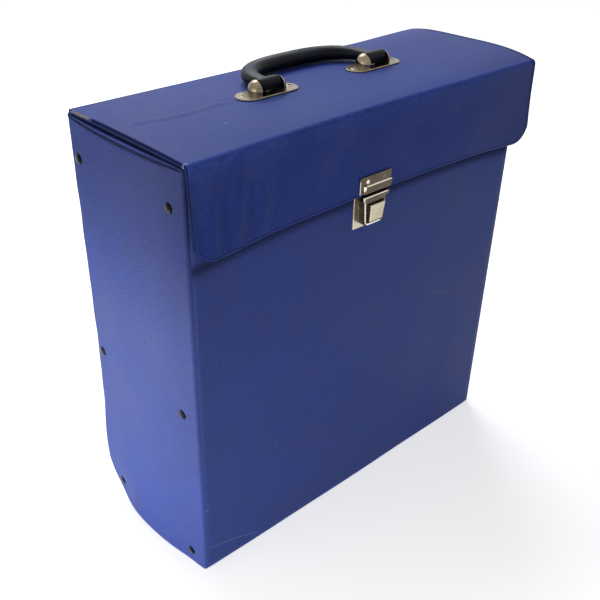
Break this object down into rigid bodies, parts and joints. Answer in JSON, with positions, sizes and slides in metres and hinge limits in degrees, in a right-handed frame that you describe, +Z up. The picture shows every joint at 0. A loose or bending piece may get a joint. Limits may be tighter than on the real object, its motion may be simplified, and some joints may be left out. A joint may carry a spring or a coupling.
{
  "type": "record carrying case",
  "caption": "Upright covered-board case for twelve-inch records, with a hinged lid, front flap, sprung slide lock and folding top handle.",
  "frame": {"origin": "on the base, at the middle of the body's width and depth", "axes": "+Z up, -Y is the front with the flap and lock, X runs along the width from the left end to the right end"},
  "size_m": [0.3493, 0.1402, 0.3547],
  "materials": {
    "blue_vinyl": "fine grained covering cloth, satin",
    "lining_paper": "matte",
    "dark_steel": "semi-matte",
    "bronzed_rivet": "dark, worn",
    "nickel": "tarnished nickel plate",
    "spring_steel": "plain",
    "black_handle": "worn satin"
  },
  "bodies": {
    "case": {"front_board": "blue_vinyl", "back_board": "blue_vinyl", "end_panel_left": "blue_vinyl", "end_panel_right": "blue_vinyl", "front_angle_left": "dark_steel", "front_angle_right": "dark_steel", "rear_angle_left": "dark_steel", "rear_angle_right": "dark_steel", "end_rivets_left": "bronzed_rivet", "end_rivets_right": "bronzed_rivet", "body_lining": "lining_paper", "end_lining_left": "lining_paper", "end_lining_right": "lining_paper", "hinge_strip": "blue_vinyl", "lock_base_plate": "nickel", "lock_case": "nickel", "lock_rivets": "nickel", "lock_backing_plate": "dark_steel", "lock_spring": "spring_steel"},
    "thumb_slide": {"lock_thumb_slide": "nickel", "lock_catch": "spring_steel"},
    "lid": {"lid_board": "blue_vinyl", "lid_lining": "lining_paper", "crease_strip": "blue_vinyl", "handle_bracket_left": "nickel", "handle_bracket_right": "nickel", "bracket_rivets_left": "nickel", "bracket_rivets_right": "nickel", "handle_backing_plate_left": "dark_steel", "handle_backing_plate_right": "dark_steel", "handle_pin_left": "spring_steel", "handle_pin_right": "spring_steel"},
    "flap": {"flap_board": "blue_vinyl", "flap_lining": "lining_paper", "flap_plate": "nickel", "lock_tongue": "nickel", "flap_rivets": "nickel"},
    "handle": {"handle_grip": "black_handle"}
  },
  "joints": [
    {"name": "lid_hinge", "type": "hinge", "parent": "case", "child": "lid", "pos_m": [0, 0.0656, 0.339], "axis": [-1, 0, 0], "range_deg": [0, 210], "deforming": ["hinge_strip"]},
    {"name": "flap_hinge", "type": "hinge", "parent": "lid", "child": "flap", "pos_m": [0, -0.06935, 0.33955], "axis": [-1, 0, 0], "range_deg": [0, 95], "deforming": ["crease_strip"]},
    {"name": "handle_hinge", "type": "hinge", "parent": "lid", "child": "handle", "pos_m": [0.006, -0.00175, 0.3499], "axis": [1, 0, 0], "range_deg": [0, 180]},
    {"name": "thumb_slide_travel", "type": "slide", "parent": "case", "child": "thumb_slide", "axis": [-1, 0, 0], "range_m": [0, 0.0025], "stiffness_N_per_m": 350, "springref_m": -0.002, "deforming": ["lock_spring"]}
  ]
}
